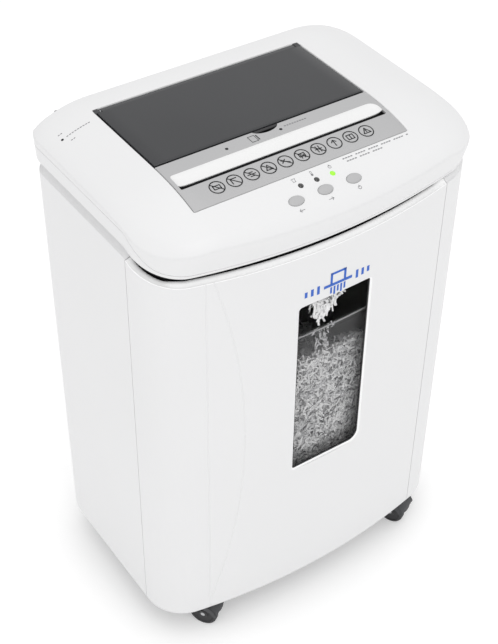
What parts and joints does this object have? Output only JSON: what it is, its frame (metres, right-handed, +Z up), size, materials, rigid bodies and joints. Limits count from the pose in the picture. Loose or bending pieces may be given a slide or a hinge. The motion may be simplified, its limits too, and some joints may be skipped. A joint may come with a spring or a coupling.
{
  "type": "paper shredder",
  "caption": "Free-standing cross-cut paper shredder on casters, with a smoked auto-feed cover, a pull-out bin and a window",
  "frame": {"origin": "On the floor, under the middle of the overall box: the casters stand on Z=0", "axes": "+Z is up and the longest extent. The drawer and buttons face -Y and the power switch is at the rear, +Y. +X is the right-hand side for somebody facing the drawer"},
  "size_m": [0.378, 0.2715, 0.5696],
  "materials": {
    "white_shell": "fine-textured white moulded plastic",
    "dark_plastic": "black moulded plastic",
    "smoke_plastic": "smoked see-through plastic",
    "clear_plastic": "clear see-through plastic",
    "silver_plastic": "satin silver painted plastic",
    "steel": "bright zinc-plated steel",
    "cutter_steel": "ground and hardened steel",
    "bronze": "sintered bronze",
    "gear_plastic": "natural nylon",
    "motor_steel": "dark lacquered laminations and end bells",
    "roller_rubber": "black rubber",
    "board": "green circuit board",
    "button_grey": "light grey moulded plastic",
    "lens_dark": "unlit indicator lens",
    "lens_green": "lit green indicator lens",
    "paper": "loose cross-cut paper",
    "caster_plastic": "dark grey moulded plastic",
    "caster_tyre": "hard black tread"
  },
  "bodies": {
    "cabinet": {"cabinet_shell": "white_shell", "base_plate": "dark_plastic", "head_brackets": "steel", "head_lower_shell": "white_shell", "head_top_cover": "white_shell", "silver_panel": "silver_plastic", "feed_trough": "white_shell", "paper_tray": "dark_plastic", "left_side_plate": "steel", "right_side_plate": "steel", "gear_plate": "steel", "tie_rods": "steel", "shaft_bushes": "bronze", "gear_axles": "steel", "front_stripper": "gear_plastic", "rear_stripper": "gear_plastic", "motor_body": "motor_steel", "feed_belt": "roller_rubber", "control_board": "board", "tact_switches": "dark_plastic", "led_full": "lens_dark", "led_overheat": "lens_dark", "led_power": "lens_green", "power_board": "board", "rocker_bezel": "dark_plastic", "cord_gland": "dark_plastic", "interlock_switch": "dark_plastic", "drawer_rails": "steel", "caster_sockets": "dark_plastic", "unit_screws": "steel"},
    "drawer": {"drawer_front": "white_shell", "window_pane": "clear_plastic", "bin_tub": "smoke_plastic", "shred_pile": "paper", "interlock_tab": "white_shell", "drawer_runners": "dark_plastic"},
    "cover": {"autofeed_cover": "smoke_plastic", "cover_hinge_pins": "steel"},
    "rear_cutter_set": {"rear_cutter": "cutter_steel", "rear_cutter_gear": "steel", "output_gear": "steel"},
    "front_cutter_set": {"front_cutter": "cutter_steel", "front_cutter_gear": "steel"},
    "second_reduction": {"second_gear": "gear_plastic"},
    "first_reduction": {"first_gear": "gear_plastic"},
    "rotor": {"motor_shaft": "steel", "motor_fan": "dark_plastic"},
    "roller": {"feed_roller": "roller_rubber"},
    "reverse_key": {"button_reverse": "button_grey"},
    "forward_key": {"button_forward": "button_grey"},
    "power_key": {"button_power": "button_grey"},
    "rocker": {"power_rocker": "dark_plastic"},
    "swivel_fl": {"caster_body_fl": "caster_plastic"},
    "wheels_fl": {"caster_wheels_fl": "caster_tyre"},
    "swivel_fr": {"caster_body_fr": "caster_plastic"},
    "wheels_fr": {"caster_wheels_fr": "caster_tyre"},
    "swivel_rl": {"caster_body_rl": "caster_plastic"},
    "wheels_rl": {"caster_wheels_rl": "caster_tyre"},
    "swivel_rr": {"caster_body_rr": "caster_plastic"},
    "wheels_rr": {"caster_wheels_rr": "caster_tyre"}
  },
  "joints": [
    {"name": "drawer_slide", "type": "slide", "parent": "cabinet", "child": "drawer", "axis": [0, -1, 0], "range_m": [0, 0.24]},
    {"name": "cover_hinge", "type": "hinge", "parent": "cabinet", "child": "cover", "pos_m": [-0.013, 0.0872, 0.5666], "axis": [-1, 0, 0], "range_deg": [0, 92]},
    {"name": "rear_cutter_spin", "type": "hinge", "parent": "cabinet", "child": "rear_cutter_set", "pos_m": [-0.013, -0.04, 0.5], "axis": [1, 0, 0], "continuous": true},
    {"name": "front_cutter_spin", "type": "hinge", "parent": "cabinet", "child": "front_cutter_set", "pos_m": [-0.013, -0.074, 0.5], "axis": [1, 0, 0], "continuous": true},
    {"name": "second_gear_spin", "type": "hinge", "parent": "cabinet", "child": "second_reduction", "pos_m": [-0.013, -0.00228, 0.50771], "axis": [1, 0, 0], "continuous": true},
    {"name": "first_gear_spin", "type": "hinge", "parent": "cabinet", "child": "first_reduction", "pos_m": [-0.013, 0.03459, 0.4958], "axis": [1, 0, 0], "continuous": true},
    {"name": "motor_spin", "type": "hinge", "parent": "cabinet", "child": "rotor", "pos_m": [-0.013, 0.062, 0.508], "axis": [1, 0, 0], "continuous": true},
    {"name": "feed_roller_spin", "type": "hinge", "parent": "cabinet", "child": "roller", "pos_m": [-0.013, 0, 0.538], "axis": [1, 0, 0], "continuous": true},
    {"name": "reverse_press", "type": "slide", "parent": "cabinet", "child": "reverse_key", "axis": [0, 0.4067, -0.9135], "range_m": [0, 0.0012], "stiffness_N_per_m": 600},
    {"name": "forward_press", "type": "slide", "parent": "cabinet", "child": "forward_key", "axis": [0, 0.4067, -0.9135], "range_m": [0, 0.0012], "stiffness_N_per_m": 600},
    {"name": "power_press", "type": "slide", "parent": "cabinet", "child": "power_key", "axis": [0, 0.4067, -0.9135], "range_m": [0, 0.0012], "stiffness_N_per_m": 600},
    {"name": "rocker_tilt", "type": "hinge", "parent": "cabinet", "child": "rocker", "pos_m": [-0.142, 0.131, 0.541], "axis": [-1, 0, 0], "range_deg": [0, 20]},
    {"name": "swivel_fl", "type": "hinge", "parent": "cabinet", "child": "swivel_fl", "pos_m": [-0.136, -0.09, 0.036], "axis": [0, 0, 1], "continuous": true},
    {"name": "roll_fl", "type": "hinge", "parent": "swivel_fl", "child": "wheels_fl", "pos_m": [-0.13153, -0.09663, 0.016], "axis": [-0.829, -0.5592, 0], "continuous": true},
    {"name": "swivel_fr", "type": "hinge", "parent": "cabinet", "child": "swivel_fr", "pos_m": [0.136, -0.09, 0.036], "axis": [0, 0, 1], "continuous": true},
    {"name": "roll_fr", "type": "hinge", "parent": "swivel_fr", "child": "wheels_fr", "pos_m": [0.13938, -0.09725, 0.016], "axis": [-0.9063, -0.4226, 0], "continuous": true},
    {"name": "swivel_rl", "type": "hinge", "parent": "cabinet", "child": "swivel_rl", "pos_m": [-0.136, 0.084, 0.036], "axis": [0, 0, 1], "continuous": true},
    {"name": "roll_rl", "type": "hinge", "parent": "swivel_rl", "child": "wheels_rl", "pos_m": [-0.13766, 0.09183, 0.016], "axis": [0.9781, 0.2079, 0], "continuous": true},
    {"name": "swivel_rr", "type": "hinge", "parent": "cabinet", "child": "swivel_rr", "pos_m": [0.136, 0.084, 0.036], "axis": [0, 0, 1], "continuous": true},
    {"name": "roll_rr", "type": "hinge", "parent": "swivel_rr", "child": "wheels_rr", "pos_m": [0.13847, 0.09161, 0.016], "axis": [0.9511, -0.309, 0], "continuous": true}
  ],
  "couplings": [
    {"joint": "front_cutter_spin", "follows": "rear_cutter_spin", "ratio": -1},
    {"joint": "second_gear_spin", "follows": "rear_cutter_spin", "ratio": -2.6667},
    {"joint": "first_gear_spin", "follows": "rear_cutter_spin", "ratio": 11.111},
    {"joint": "motor_spin", "follows": "rear_cutter_spin", "ratio": -44.444},
    {"joint": "feed_roller_spin", "follows": "rear_cutter_spin", "ratio": 1.5}
  ]
}
